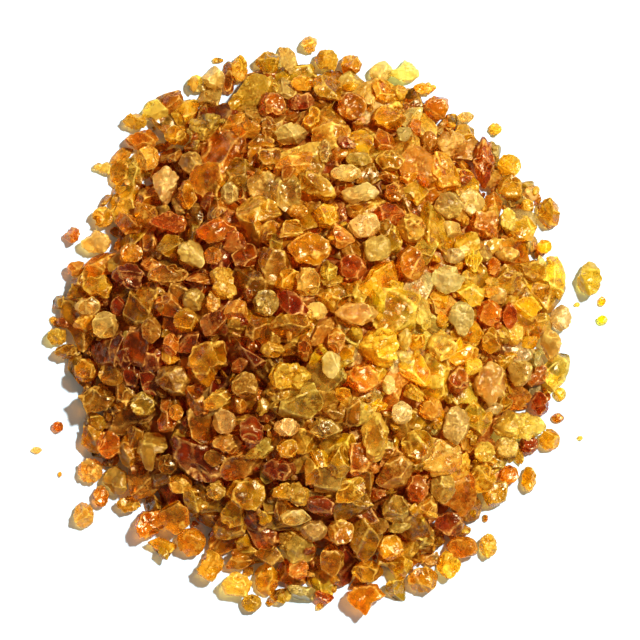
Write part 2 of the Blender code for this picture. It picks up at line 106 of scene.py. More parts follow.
# Middle-sized granules of the top layer: tone, x, y, then either the radius, or half the
# width and half the depth, or the reach towards +X, +X+Y, +Y, -X+Y, -X, -X-Y, -Y and +X-Y
MIDDLE_GRANULES = [
    ("golden", -27.5, 26.4, (1.8, 2, 3, 2, 1.8, 2.4, 3.4, 2.6)),
    ("golden", -29.7, 38.2, (2.6, 2.4, 2, 2.2, 2.6, 2.4, 2, 2.6)),
    ("golden", -15.5, 39.2, (3, 2.2, 1.8, 2, 3, 2.4, 1.8, 2.4)),
    ("orange", -10.5, 44.2, (2.8, 2.8, 2.4, 3, 2.6, 3.2, 2, 3)),
    ("dark_red", -4.7, 44.8, (2.8, 2.6, 1.4, 1.8, 2.6, 2.4, 1.6, 2)),
    ("orange", 5.5, 43.8, (3, 2.8)),
    ("pale", 7.9, 19.6, (3.2, 3.2, 2.4, 2.6, 3.4, 2.8, 2.4, 2.8)),
    ("amber", 37.3, 27.8, (2.6, 2.6, 2.6, 2.4, 2.6, 2.6, 2.8, 3.2)),
    ("brown", -31.1, 10, (4, 2.8, 2, 2.6, 4.2, 2.6, 2.4, 2.4)),
    ("yellow", -20.3, 8.4, (2.4, 3.2, 3.4, 3.2, 1.8, 2.4, 3.4, 4)),
    ("straw", -3.3, 8.4, (2.4, 2.8, 3.2, 2.8, 2.2, 2.6, 3, 3)),
    ("tan", 10.5, 15.2, (2.8, 3.2, 2.6, 2.8, 2.8, 3.2, 2.6, 2.8)),
    ("pale", 1.3, -7.8, (1.8, 2.4, 2.8, 2.4, 1.8, 2.2, 2.8, 2)),
    ("orange", 7.1, -10.4, (3.6, 3.6, 2.8, 2.8, 3.4, 2.8, 3, 3.6)),
    ("brown", -15.7, -12, (2.8, 2.8, 3, 2.6, 2.8, 2.6, 2.8, 3.2)),
    ("dark_red", -14.5, -21, (2.4, 2.8, 3.2, 2.8, 2.4, 2.6, 3.6, 2.8)),
    ("smoky", 27.3, 1.4, (2.4, 3, 3.6, 3, 2.8, 2.4, 3.8, 2.6)),
    ("orange", 32.9, 2.4, (2.7,)),
    ("tan", 39.1, -9.8, (2.6, 3.2, 2.6, 2.8, 2.2, 2.4, 2.8, 2.6)),
    ("red_brown", 42.9, -10.2, (1.8, 2.6, 2, 1.2, 1.8, 2.8, 2, 2)),
    ("brown", -31.3, -27.8, (2.1,)),
    ("straw", -47.3, -29.4, (2.6,)),
    ("amber", -26.9, -43.8, (3,)),
    ("orange", -19.7, -23.6, (3.6, 2.6, 1.8, 2.4, 3.8, 2, 1.8, 3)),
    ("dark_red", -8.9, -28.6, (3.6, 2.6, 2.2, 2.8, 3.6, 2.8, 2.2, 2.8)),
    ("tan", 14.3, -36.8, (2.9,)),
    ("amber", 3.3, -41.4, (2.8,)),
    ("golden", 13.3, -44.6, (2.7,)),
    ("straw", 10.1, -22, (2.6, 3.2, 5, 3.6, 2.8, 3.2, 5.6, 3)),
    ("amber", 18.5, -24, (3.4,)),
    ("straw", 32.1, -25.4, (2.2,)),
    ("tan", 23.7, -32.4, (2.4, 2.8, 3.4, 2.8, 2.6, 2.8, 3.4, 3)),
    ("golden", 31.5, -30.8, (3,)),
    ("dark_red", 25.5, -40, (2.8, 2.6, 2.6, 3, 3.4, 2.8, 2.6, 2.8)),
    ("yellow", 25.1, -48, (2.5, 2.4, 2.6, 2.4, 2.5, 2.8, 3.2, 2.8)),
    ("pale", -47.7, 3.8, (2.8, 2.4, 1.8, 2, 2.6, 2.4, 1.8, 2.4)),
    ("golden", -47.9, -9.2, (2.5,)),
    ("straw", -35.7, 33.6, (2.6,)),
    ("tan", -44.9, 31.8, (1.8, 1.6, 0.8, 1.4, 2, 1, 1.2, 2)),
    ("orange", -19.3, 50, (1.3, 3.5)),
    ("pale", -18.9, 26.2, (1.8, 2.4)),
    ("golden", -44.7, 21.8, (2.2,)),
    ("golden", -17.1, 51.8, (1.6, 2.9)),
    ("yellow", 20.3, 47.8, (2.4, 1.2)),
    ("golden", -4.3, 48.6, (2.5, 1.6)),
    ("yellow", -2.5, 41.4, (1.6, 2.4, 2.4, 1.2, 1.6, 2.6, 3, 1.8)),
    ("brown", -11.1, 39.4, (1.5, 2.5)),
    ("pale", 0.1, 34.6, (1.4, 2.7)),
    ("yellow", 5.3, 48, (1.7, 1)),
    ("orange", 13.9, 26.4, (2,)),
    ("golden", -5.3, 22.6, (2.2, 1.5)),
    ("yellow", 0.3, 21.6, (2.6,)),
    ("tan", 6.7, 33, (2.7, 1.5)),
    ("pale", 4.3, 30.2, (3.2, 1.7)),
    ("golden", 13.1, 32.8, (3, 2.2)),
    ("orange", 20.9, 36.4, (1.8, 2.7)),
    ("pale", 28.5, 42, (1.8, 1.1)),
    ("yellow", 34.5, 39.6, (1.4, 1.3)),
    ("yellow", 37.3, 32.2, (2.5, 2.4)),
    ("straw", 36.9, 21, (1.6, 2.8)),
    ("yellow", 44.3, 15.8, (1.6, 1.5)),
    ("golden", 40.9, 23.8, (1.3, 1.8)),
    ("pale", -43.9, 0, (2.8,)),
    ("brown", -51.7, -5.4, (2.8, 1.5)),
    ("golden", -38.7, 14.4, (2.5, 2)),
    ("tan", -25.9, 5, (2.4,)),
    ("brown", -34.5, -1, (2, 2.7)),
    ("golden", -27.5, 1, (2.5,)),
    ("straw", -36.1, -15.8, (2.6,)),
    ("golden", -29.5, -17.4, (1.5, 1.7)),
    ("orange", -30.5, -4, (1.7, 2.4)),
    ("golden", -22.1, 4.6, (1.5, 2.4)),
    ("pale", -1.7, 2.8, (2.3, 1.8)),
    ("tan", -11.5, 4.4, (2.7,)),
    ("red_brown", 5.5, 11.4, (2.8,)),
    ("tan", 15.9, -2.6, (1.3, 2.5)),
    ("orange", 2.3, -3, (1.8, 2.6)),
    ("golden", -10.3, -4.8, (2.5, 1.6)),
    ("orange", -3.9, -4.4, (1.4, 2.8)),
    ("pale", 12.7, -11.8, (1.3, 2)),
    ("pale", 15.3, -17.4, (2.1, 2.4)),
    ("pale", -7.5, -20.2, (2.7, 1.8)),
    ("pale", 25.7, 13.8, (2.2, 1.6)),
    ("amber", 33.3, -3.2, (2, 2.8)),
    ("straw", 38.3, -1.8, (1.8, 2.5)),
    ("red_brown", 26.7, -11, (2.1, 2.8)),
    ("orange", 21.1, -16.6, (2.4,)),
    ("red_brown", 37.1, 1.8, (1.5, 2.8)),
    ("orange", 33.9, 11.6, (1.3, 2.1)),
    ("tan", 36.7, 14.2, (2.5, 1.5)),
    ("orange", -43.3, -24, (2.4, 3)),
    ("golden", -28.9, -31.8, (2.6, 2)),
    ("orange", -45.1, -34.6, (1.6, 2.4)),
    ("golden", -39.5, -36.2, (2.5, 1.7)),
    ("pale", -19.9, -19.2, (2.4, 2.6)),
    ("straw", -21.7, -33.2, (2.1, 1.8)),
    ("smoky", -2.1, -41.2, (2.8, 2.2)),
    ("golden", -11.7, -51.4, (2.5, 3.4)),
    ("amber", -14.7, -56.2, (2.2, 1.8)),
    ("orange", -5.3, -49, (2.2,)),
    ("brown", 1.5, -47.2, (2.5, 3.3)),
    ("amber", 8.7, -49.6, (3.3, 2.2)),
    ("tan", 0.1, -20.4, (3.5, 2.1)),
    ("golden", -7.3, -24.4, (2.3, 2)),
    ("red_brown", 18.5, -32.6, (2.2, 3)),
    ("amber", 19.9, -51.4, (3.2, 2.7)),
    ("tan", 36.7, -24.6, (2.4, 2.3)),
    ("orange", 37.3, -30.2, (2,)),
    ("amber", 41.3, -31.2, (1.5, 2.8)),
    ("golden", 33.1, -44.6, (1.8, 2.6)),
    ("amber", 45.5, -23.2, (2.2, 2.3)),
    ("dark_red", 41.3, -24.2, (2,)),
]

# Crumbs that lie apart from the heap, in the same form
STRAY_CRUMBS = [
    ("yellow", 47.6, -14, (1.3, 1.4)),
    ("orange", -53.9, -20.6, (1.2,)),
    ("yellow", 56.2, 1, (1.1, 1)),
    ("yellow", 56.1, 4.8, (0.8, 1)),
    ("pale", -58.2, -25.3, (1.1, 0.7)),
    ("straw", 51.1, 4.1, (0.6, 0.5)),
    ("straw", 51.7, -22.9, (0.6, 0.5)),
    ("yellow", -53.5, -30.2, (0.4, 0.6)),
    ("pale", -46, -19.5, (0.9,)),
    ("orange", 47.2, -18.8, (1.3, 1)),
]

# How granules break: how many walls round the sides, lids above and as many below, how sharp
# the edges between them are, scooped fractures, grains in a crust, how dusty and how rippled
STYLES = {
    "fractured": dict(walls=6, lids=2, sharpness=70, scoops=2, grains=0, dust=0.40, ridges=0.8),
    "blocky": dict(walls=5, lids=1, sharpness=80, scoops=1, grains=0, dust=0.55, ridges=0.5),
    "worn": dict(walls=7, lids=2, sharpness=14, scoops=0, grains=0, dust=0.85, ridges=0.5),
    "glossy": dict(walls=6, lids=3, sharpness=40, scoops=2, grains=0, dust=0.12, ridges=0.8),
    "crusted": dict(walls=6, lids=2, sharpness=20, scoops=1, grains=60, dust=0.65, ridges=0.6),
}

# Which style the granules of a tone have, most often first
TONE_STYLES = {
    "dark_red": ("glossy", "glossy", "fractured"),
    "red_brown": ("glossy", "fractured", "blocky"),
    "brown": ("fractured", "worn", "glossy"),
    "orange": ("fractured", "glossy", "blocky"),
    "amber": ("fractured", "blocky", "glossy"),
    "golden": ("fractured", "blocky", "crusted"),
    "smoky": ("worn", "fractured", "worn"),
    "tan": ("worn", "blocky", "crusted"),
    "yellow": ("fractured", "glossy", "crusted"),
    "straw": ("blocky", "fractured", "crusted"),
    "pale": ("worn", "blocky", "fractured"),
}

# Large granules whose style isn't the usual one of their tone
SPECIAL_GRANULES = {
    "worn": (
        "striated_smoky_granule", "large_pink_tan_granule", "pink_slab_granule", "notched_kidney_granule",
        "pale_kidney_granule", "pale_oval_granule", "round_tan_granule", "stray_granule",
    ),
    "crusted": ("yellow_cluster_granule", "yellow_crust_granule", "tan_shard", "broad_straw_granule"),
    "fractured": ("dented_golden_granule", "large_golden_granule", "hooked_amber_granule"),
    "glossy": ("glossy_red_granule",),
}
SPECIAL_STYLES = {node: style for style, nodes in SPECIAL_GRANULES.items() for node in nodes}

# The chances of a tone's first, second and third style
STYLE_CHANCES = (0.5, 0.3, 0.2)

# A broken lump, in its own size: how far its walls and its lids are from the middle
WALL_DEPTHS = (0.62, 1.0)
LID_DEPTHS = (0.6, 0.95)
# How far walls are turned out of their even spacing, and how far walls and lids lean
WALL_SHIFT = 0.35
WALL_LEAN = 0.35
LID_LEAN = 0.4
# No corner is further from the middle than this
LONGEST_CORNER = 1.28
LONGEST_POWER = 8
# Worn edges, partly painted rim light where a wall meets a lid: how narrow they are, how fast
# wear rises beside one, where it starts, and its share where no wall meets the edge
EDGE_SHARPNESS = 13
WEAR_RISE = 2.8
WEAR_START = 0.3
LID_WEAR = 0.4
WALL_NEARNESS = 2.2
# Dust: how much more the walls have, partly real dust and partly painted rim light round each granule's
# outline, how much it varies, and what is left in a scooped fracture
WALL_DUST_AND_RIM_LIGHT = 0.25
DUST_SPREAD = 0.3
SCOOP_DUST = 0.12
SCOOP_DUST_SPREAD = 0.25
# Scooped fractures: radius, how far the scoop stays from the middle, width of the worn rim
SCOOP_RADII = (0.6, 1.4)
SCOOP_GAPS = (0.5, 0.78)
SCOOP_RIM = 0.045
# Most scoops are in the upper side, which is seen
SCOOP_LEANING = np.array([0, 0, 0.5])
# Further out than any lump reaches
NO_SCOOP = 9.0
# Crust: each grain's height, its width over the spacing, the hollow between grains, the bulge,
# and how much of the wear is on top of the grains
GRAIN_HEIGHTS = (0.9, 1.06)
GRAIN_JITTER = 0.35
GRAIN_WIDTH = 2.2
GRAIN_HOLLOW = 0.93
GRAIN_BULGE = 0.06
GRAIN_WEAR = 0.6
# Ripples on the faces, coarse and fine: wavelength and depth
COARSE_RIPPLE = (1.3, 0.075)
FINE_RIPPLE = (0.6, 0.03)
RIPPLE_TOP = 1.06


def unit(vectors):
    """The vectors at length 1."""
    return vectors / np.linalg.norm(vectors, axis=-1, keepdims=True)


def smooth_reach(reaches, angle):
    """Distance to a closed outline at an angle, eased between its evenly spaced reaches."""
    reaches = np.asarray(reaches, float)
    step = (angle / math.tau % 1.0) * len(reaches)
    low = np.floor(step).astype(int)
    ease = 0.5 - 0.5 * np.cos(np.pi * (step - low))
    near = reaches[low % len(reaches)]
    far = reaches[(low + 1) % len(reaches)]
    return near + (far - near) * ease


def foot_share(x, y, reaches=FOOT_REACHES):
    """How far a place is from the heap's middle, as a share of the way to its foot."""
    dx, dy = x - HEAP_MIDDLE[0], y - HEAP_MIDDLE[1]
    return np.hypot(dx, dy) / smooth_reach(reaches, np.arctan2(dy, dx))


def heap_height(x, y):
    """Height of the heap's skin, without the unevenness of its granules."""
    return CROWN_HEIGHT * np.maximum(0.0, 1.0 - foot_share(x, y) ** SLOPE_POWER)


def ceiling_skin(x, y):
    """Height that the top layer reaches at a place."""
    return np.maximum(heap_height(x, y), RIM_HEIGHT)


WAVE_COUNT = 7
# Wave numbers, against that of the wavelength asked for
WAVE_NUMBERS = (0.6, 1.5)


def waves(rng, points, wavelength):
    """Smooth random swell at each point, about 1 high."""
    pushes = unit(rng.normal(size=(WAVE_COUNT, points.shape[-1])))
    pushes *= (math.tau / wavelength) * rng.uniform(*WAVE_NUMBERS, (WAVE_COUNT, 1))
    swell = np.cos(points @ pushes.T + rng.uniform(0, math.tau, WAVE_COUNT)).sum(axis=-1)
    return swell / math.sqrt(WAVE_COUNT / 2)


def rotation(rng):
    """A random turn, as a matrix."""
    turn, _ = np.linalg.qr(rng.normal(size=(3, 3)))
    turn[:, 0] *= np.sign(np.linalg.det(turn))
    return turn


def even_directions(rng, count, jitter):
    """Directions spread evenly over a sphere, then turned and shaken at random."""
    step = np.arange(count) + 0.5
    polar = np.arccos(1 - 2 * step / count)
    around = math.pi * (1 + math.sqrt(5)) * step
    ring = np.sin(polar)
    spread = np.stack([ring * np.cos(around), ring * np.sin(around), np.cos(polar)], axis=-1)
    return unit(spread @ rotation(rng).T + rng.normal(0, jitter, (count, 3)))


SPHERES = {}


def sphere(detail):
    """Directions and triangles of an icosahedron, subdivided for that much detail."""
    if detail not in SPHERES:
        mesh = bmesh.new()
        bmesh.ops.create_icosphere(mesh, subdivisions=detail, radius=1.0)
        directions = unit(np.array([v.co[:] for v in mesh.verts]))
        triangles = np.array([[v.index for v in face.verts] for face in mesh.faces])
        mesh.free()
        SPHERES[detail] = (directions, triangles)
    return SPHERES[detail]


def face_normals(rng, walls, lids):
    """Which way a lump's flat faces look: walls outwards all round, lids upwards and as many downwards."""
    around = (np.arange(walls) + rng.uniform(-WALL_SHIFT, WALL_SHIFT, walls)) * math.tau / walls
    sides = np.stack([np.cos(around), np.sin(around), rng.normal(0, WALL_LEAN, walls)], axis=1)
    level = np.repeat([1.0, -1.0], lids)
    caps = np.column_stack([rng.normal(0, LID_LEAN, (2 * lids, 2)), level])
    return unit(np.concatenate([sides, caps]))


def flat_faces(rng, directions, style):
    """Reach, wear and dust in each direction of a lump bounded by flat faces."""
    walls = style["walls"] + rng.integers(-1, 2)
    normals = face_normals(rng, walls, style["lids"])
    count = len(normals)
    depths = np.concatenate([rng.uniform(*WALL_DEPTHS, walls), rng.uniform(*LID_DEPTHS, count - walls)])
    facing = np.maximum(directions @ normals.T, 1e-4) / depths
    reach = (facing ** style["sharpness"]).sum(axis=1) ** (-1.0 / style["sharpness"])
    reach = (reach**-LONGEST_POWER + LONGEST_CORNER**-LONGEST_POWER) ** (-1.0 / LONGEST_POWER)
    shares = facing**EDGE_SHARPNESS
    shares /= shares.sum(axis=1, keepdims=True)
    # Wear is fullest where a wall meets a lid, at the outline seen from above: partly wear, partly painted
    # rim light
    beside_wall = np.clip(WALL_NEARNESS * shares[:, :walls].sum(axis=1), 0.0, 1.0)
    wear = np.clip(WEAR_RISE * (1.0 - shares.max(axis=1)) - WEAR_START, 0.0, 1.0)
    wear = wear * (LID_WEAR + (1.0 - LID_WEAR) * beside_wall)
    # Walls get more dust: partly real dust, partly painted rim light at each granule's outline
    wall_dust_and_rim_light = WALL_DUST_AND_RIM_LIGHT * (np.arange(count) < walls)
    face_dust = np.clip(style["dust"] + wall_dust_and_rim_light + rng.normal(0, DUST_SPREAD, count), 0.0, 1.0)
    return reach, wear, shares @ face_dust


def scoop_out(rng, directions, reach, wear, dust):
    """The lump with one more scooped fracture: clean inside, worn at its rim."""
    towards = unit(rng.normal(size=3) + SCOOP_LEANING)
    radius = rng.uniform(*SCOOP_RADII)
    gap = rng.uniform(*SCOOP_GAPS) + radius
    along = gap * (directions @ towards)
    inside = along**2 - (gap**2 - radius**2)
    hit = np.where((along > 0) & (inside > 0), along - np.sqrt(np.maximum(inside, 0)), NO_SCOOP)
    wear = np.maximum(wear, np.exp(-(((hit - reach) / SCOOP_RIM) ** 2)))
    dust = np.where(hit < reach, SCOOP_DUST + SCOOP_DUST_SPREAD * rng.random(), dust)
    return np.minimum(reach, hit), wear, dust


def crust_over(rng, directions, reach, wear, grains):
    """The lump covered with small grains, with the wear on top of them."""
    middles = even_directions(rng, grains, GRAIN_JITTER)
    closeness = directions @ middles.T
    heights = rng.uniform(*GRAIN_HEIGHTS, grains)[closeness.argmax(axis=1)]
    width = GRAIN_WIDTH / math.sqrt(grains)
    away = np.arccos(np.clip(closeness.max(axis=1), -1, 1)) / width
    bulge = np.sqrt(np.clip(1.0 - away**2, 0.0, 1.0))
    reach = reach * (GRAIN_HOLLOW + GRAIN_BULGE * bulge) * heights
    return reach, np.clip((1.0 - GRAIN_WEAR) * wear + GRAIN_WEAR * bulge**2, 0.0, 1.0)


def ripple(rng, points, kind):
    """How deep a ripple, given by its wavelength and depth, is at each point."""
    wavelength, depth = kind
    return depth * np.abs(waves(rng, points, wavelength))


def break_lump(rng, detail, style):
    """A broken lump of unit size: its points, triangles, worn edges and dusty faces."""
    directions, triangles = sphere(detail)
    reach, wear, dust = flat_faces(rng, directions, style)
    for _ in range(style["scoops"]):
        reach, wear, dust = scoop_out(rng, directions, reach, wear, dust)
    if style["grains"]:
        reach, wear = crust_over(rng, directions, reach, wear, style["grains"])
    points = directions * reach[:, None]
    ripples = ripple(rng, points, COARSE_RIPPLE) + ripple(rng, points, FINE_RIPPLE)
    reach = reach * (RIPPLE_TOP - ripples * style["ridges"])
    return directions * reach[:, None], triangles, wear, dust


SHAPES_PER_STYLE = 40
SHAPES = {}


def upright_turn(rng):
    """A random turn that keeps a lump lying on one of its two broad sides, as a matrix."""
    around, side = rng.uniform(0, math.tau), rng.choice((-1.0, 1.0))
    along, across = math.cos(around), math.sin(around)
    return np.array([[along, -across, 0.0], [across * side, along * side, 0.0], [0.0, 0.0, side]])


def shape(rng, detail, style):
    """A granule of unit size in a style: one of a few, turned at random."""
    key = (style, detail)
    if key not in SHAPES:
        SHAPES[key] = [break_lump(rng, detail, STYLES[style]) for _ in range(SHAPES_PER_STYLE)]
    points, triangles, wear, dust = SHAPES[key][rng.integers(SHAPES_PER_STYLE)]
    return points @ upright_turn(rng).T, triangles, wear, dust


OUTLINE_STEPS = 20
# Weight of a lump's own reach in a direction against the two beside it
OWN_WEIGHT = 6.0


def along_edges(points, triangles):
    """The points of a mesh and more along its edges."""
    ends = points[triangles]
    after = np.roll(ends, 1, axis=1)
    return np.concatenate([(ends * (1 - t) + after * t).reshape(-1, 3) for t in (0.0, 0.25, 0.5, 0.75)])


def outline_of(points):
    """How far the points reach from the middle, in each of OUTLINE_STEPS directions from above."""
    step = np.floor(np.arctan2(points[:, 1], points[:, 0]) / math.tau * OUTLINE_STEPS + 0.5).astype(int)
    reaches = np.zeros(OUTLINE_STEPS)
    np.maximum.at(reaches, step % OUTLINE_STEPS, np.hypot(points[:, 0], points[:, 1]))
    for index in np.flatnonzero(reaches == 0):
        reaches[index] = 0.5 * (reaches[index - 1] + reaches[(index + 1) % OUTLINE_STEPS])
    return reaches


def fit_to_outline(points, triangles, reaches, middle, bottom, top):
    """The lump stretched to an outline seen from above, and between two heights."""
    angle = np.arctan2(points[:, 1], points[:, 0])
    own = outline_of(along_edges(points, triangles))
    own = (np.roll(own, 1) + OWN_WEIGHT * own + np.roll(own, -1)) / (OWN_WEIGHT + 2.0)
    stretch = smooth_reach(reaches, angle) / smooth_reach(own, angle)
    low, high = points[:, 2].min(), points[:, 2].max()
    fitted = np.empty_like(points)
    fitted[:, 0] = middle[0] + points[:, 0] * stretch
    fitted[:, 1] = middle[1] + points[:, 1] * stretch
    fitted[:, 2] = bottom + (points[:, 2] - low) / (high - low) * (top - bottom)
    return fitted


def eight_reaches(size):
    """The reaches of an outline given as a radius, as two half sizes or as eight reaches."""
    if len(size) == 8:
        return size
    half_x, half_y = size[0], size[-1]
    angles = np.arange(8) * math.tau / 8
    return 1.0 / np.sqrt((np.cos(angles) / half_x) ** 2 + (np.sin(angles) / half_y) ** 2)


def pick_style(rng, tone):
    """One of the styles that a tone breaks in."""
    return TONE_STYLES[tone][rng.choice(3, p=STYLE_CHANCES)]


# Faces that meet at more than this keep a hard edge
CREASE = math.radians(24)
# How far the pattern moves from one granule to the next, in metres, and after how many it repeats
PATTERN_STEP = np.array([0.0137, -0.0071, 0.0193])
PATTERN_REPEAT = 97


def pattern_shift(granules):
    """How far the cloudy pattern of a batch's newest granule is moved, so that neighbours differ."""
    return PATTERN_STEP * (len(granules) % PATTERN_REPEAT)


def put_in_scene(name, data):
    """A new object of the scene, with that data."""
    made = bpy.data.objects.new(name, data)
    bpy.context.scene.collection.objects.link(made)
    return made


class Batch:
    """Granules that become one mesh."""

    def __init__(self):
        self.points, self.triangles, self.colours, self.wear, self.dust = [], [], [], [], []
        self.shifts = []
        self.count = 0

    def add(self, points, triangles, colour, wear, dust):
        self.triangles.append(triangles + self.count)
        self.points.append(points)
        self.colours.append(np.broadcast_to(colour, points.shape))
        self.wear.append(wear)
        self.dust.append(dust)
        self.shifts.append(np.broadcast_to(pattern_shift(self.points), points.shape))
        self.count += len(points)

    def make(self, name, material):
        """The batch as a mesh object, in metres."""
        points = np.concatenate(self.points)
        triangles = np.concatenate(self.triangles)
        mesh = bpy.data.meshes.new(name)
        mesh.vertices.add(len(points))
        mesh.vertices.foreach_set("co", (points * MM).astype(np.float32).ravel())
        mesh.loops.add(triangles.size)
        mesh.loops.foreach_set("vertex_index", triangles.astype(np.int32).ravel())
        mesh.polygons.add(len(triangles))
        mesh.polygons.foreach_set("loop_start", np.arange(0, triangles.size, 3, dtype=np.int32))
        mesh.update(calc_edges=True)
        mesh.polygons.foreach_set("use_smooth", np.ones(len(triangles), bool))
        colours = np.concatenate([np.concatenate(self.colours), np.ones((len(points), 1))], axis=1)
        tone = mesh.attributes.new("tone", "FLOAT_COLOR", "POINT")
        tone.data.foreach_set("color", colours.astype(np.float32).ravel())
        for attribute, values in (("wear", self.wear), ("dust", self.dust)):
            layer = mesh.attributes.new(attribute, "FLOAT", "POINT")
            layer.data.foreach_set("value", np.concatenate(values).astype(np.float32))
        shift = mesh.attributes.new("pattern_shift", "FLOAT_VECTOR", "POINT")
        shift.data.foreach_set("vector", np.concatenate(self.shifts).astype(np.float32).ravel())
        mesh.validate()
        mesh.set_sharp_from_angle(angle=CREASE)
        mesh.materials.append(material)
        return put_in_scene(name, mesh)


# Painted shade: how the colour darkens and reddens deep under the skin; painted light: how granules turn
# paler where the heap is lit
PAINTED_SHADE_TINT = np.array([0.62, 0.19, 0.07])
PAINTED_LIGHT_GAIN = np.array([0.14, 0.32, 0.55])
# Depth at which the painted shade starts to darken granules, and over which it darkens them fully
PAINTED_SHADE_START = 0.8
PAINTED_SHADE_RANGE = 4.2
# The painted shade fades out at the rim: share of the way to the foot, counted inwards
INLAND_START = 1.02
INLAND_RANGE = 0.12
# Limits of any one colour value
DARKEST, BRIGHTEST = 0.002, 0.92

# Painted light and shade over the heap, as paler or darker colour: a spot of light and one of shade with
# their middle, size and strength, the rise of light towards +X, the lit side, over a length, the painted
# light at the rim, where the white surface lights the granules, and what brings the mean to about 0
PAINTED_LIGHT_SPOT = ((15.0, -3.0), (17.0, 19.0), 1.3)
PAINTED_SHADE_SPOT = ((-30.0, -10.0), (15.0, 26.0), -0.35)
PAINTED_LIGHT_RIGHT, RIGHT_LENGTH = 0.45, 50.0
PAINTED_RIM_LIGHT, RIM_START, RIM_RANGE = 0.75, 0.78, 0.22
MEAN_PAINTED_LIGHT = 0.35


def spot(x, y, middle, size, strength):
    """A soft oval spot, at its full strength in the middle."""
    return strength * np.exp(-(((x - middle[0]) / size[0]) ** 2 + ((y - middle[1]) / size[1]) ** 2))


def painted_light(x, y):
    """Painted light and shade near a place: above 0 where the heap is lit, below 0 where it is shaded, about
    0 in the mean.
    """
    right = PAINTED_LIGHT_RIGHT * np.clip(x / RIGHT_LENGTH, -1.0, 1.0)
    rim = PAINTED_RIM_LIGHT * np.clip((foot_share(x, y) - RIM_START) / RIM_RANGE, 0.0, 1.0)
    return spot(x, y, *PAINTED_LIGHT_SPOT) + right + rim + spot(x, y, *PAINTED_SHADE_SPOT) - MEAN_PAINTED_LIGHT


def painted_shade_and_light_colour(colour, points):
    """The colour at each point with painted shade, darker and redder where it lies deep under the heap's
    skin, and painted light, paler and yellower where the heap is lit.
    """
    skin = ceiling_skin(points[:, 0], points[:, 1])
    # Painted shade: the deeper under the skin, the darker and redder
    depth = np.clip((skin - points[:, 2] - PAINTED_SHADE_START) / PAINTED_SHADE_RANGE, 0.0, 1.0)[:, None]
    share = foot_share(points[:, 0], points[:, 1])
    depth = depth * np.clip((INLAND_START - share) / INLAND_RANGE, 0.0, 1.0)[:, None]
    # Painted light and shade: paler and yellower where the heap is lit, darker and redder where it is shaded
    light_gain = 1.0 + PAINTED_LIGHT_GAIN * painted_light(points[:, 0], points[:, 1])[:, None]
    return np.minimum(colour * light_gain * (1.0 - depth + depth * PAINTED_SHADE_TINT), BRIGHTEST)


# How much granules of one tone differ: in brightness, in each channel, and each channel's part
TONE_SPREAD = 0.10
LARGE_TONE_SPREAD = 0.05
CHANNEL_SPREAD = 0.06
CHANNEL_PARTS = np.array([0.5, 1.0, 1.8])


def varied(rng, tone, spread=TONE_SPREAD):
    """A tone's colour, shifted a little at random."""
    colour = np.array(TONES[tone][0])
    shift = np.exp(rng.normal(0, spread)) * np.exp(rng.normal(0, CHANNEL_SPREAD, 3) * CHANNEL_PARTS)
    return np.clip(colour * shift, DARKEST, BRIGHTEST)


# Where granules are dropped

# Room kept round a placed granule, how high its underside curves up at its edge, and how far
# others may reach in under it
ROOM_BESIDE = 0.25
UNDERSIDE_RISE = 0.45
OVERLAP = 0.9
# How far a dropped granule sinks in, as a share of its thickness, and how much of its size it
# keeps free of others
SETTLING = 0.22
CLOSENESS = 0.9
# Least height of a granule over the white surface
FLOOR_GAP = 0.03
# How closely granules follow the slope, and the step that the slope is measured over
SLOPE_FOLLOWING = 0.8
SLOPE_STEP = 0.5

GRID_X = np.arange(-MAP_HALF[0], MAP_HALF[0], CELL) + CELL / 2
GRID_Y = np.arange(-MAP_HALF[1], MAP_HALF[1], CELL) + CELL / 2
MAP_X, MAP_Y = np.meshgrid(GRID_X, GRID_Y)
FAR_UP = 99.0


def window(x, y, half):
    """The part of the map within half of a place, and the distances from the place there."""
    left = max(0, int((x - half + MAP_HALF[0]) / CELL))
    right = min(len(GRID_X), int((x + half + MAP_HALF[0]) / CELL) + 2)
    near = max(0, int((y - half + MAP_HALF[1]) / CELL))
    far = min(len(GRID_Y), int((y + half + MAP_HALF[1]) / CELL) + 2)
    part = (slice(near, far), slice(left, right))
    return part, MAP_X[part] - x, MAP_Y[part] - y


def lower_ceiling(ceiling, x, y, reaches, bottom, height):
    """Keeps the room that a placed granule needs free of others."""
    part, dx, dy = window(x, y, max(reaches) + 2 * ROOM_BESIDE)
    share = np.hypot(dx, dy) / (smooth_reach(reaches, np.arctan2(dy, dx)) + ROOM_BESIDE)
    under = bottom + UNDERSIDE_RISE * height * np.clip(share, 0, 1) ** 3 - OVERLAP
    ceiling[part] = np.where(share < 1.0, np.minimum(ceiling[part], under), ceiling[part])


def ellipsoid_sides(turn, halves, dx, dy):
    """Height of an ellipsoid's lower and upper side over a place, and where it has any."""
    form = turn @ np.diag(1.0 / halves**2) @ turn.T
    slant = form[0, 2] * dx + form[1, 2] * dy
    rest = form[0, 0] * dx**2 + 2 * form[0, 1] * dx * dy + form[1, 1] * dy**2 - 1.0
    inside = slant**2 - form[2, 2] * rest
    root = np.sqrt(np.maximum(inside, 0.0))
    return (-slant - root) / form[2, 2], (-slant + root) / form[2, 2], inside > 0


def lying_turn(rng, x, y, wobble):
    """The turn of a granule that lies flat on the heap's slope, give or take."""
    rise_x = heap_height(x + SLOPE_STEP, y) - heap_height(x - SLOPE_STEP, y)
    rise_y = heap_height(x, y + SLOPE_STEP) - heap_height(x, y - SLOPE_STEP)
    lean = -SLOPE_FOLLOWING / (2 * SLOPE_STEP)
    up = unit(np.array([lean * rise_x, lean * rise_y, 1.0]) + rng.normal(0, wobble, 3))
    around = rng.uniform(0, math.tau)
    side = unit(np.cross(up, [math.cos(around), math.sin(around), 0.1]))
    return np.stack([side, np.cross(up, side), up], axis=1)


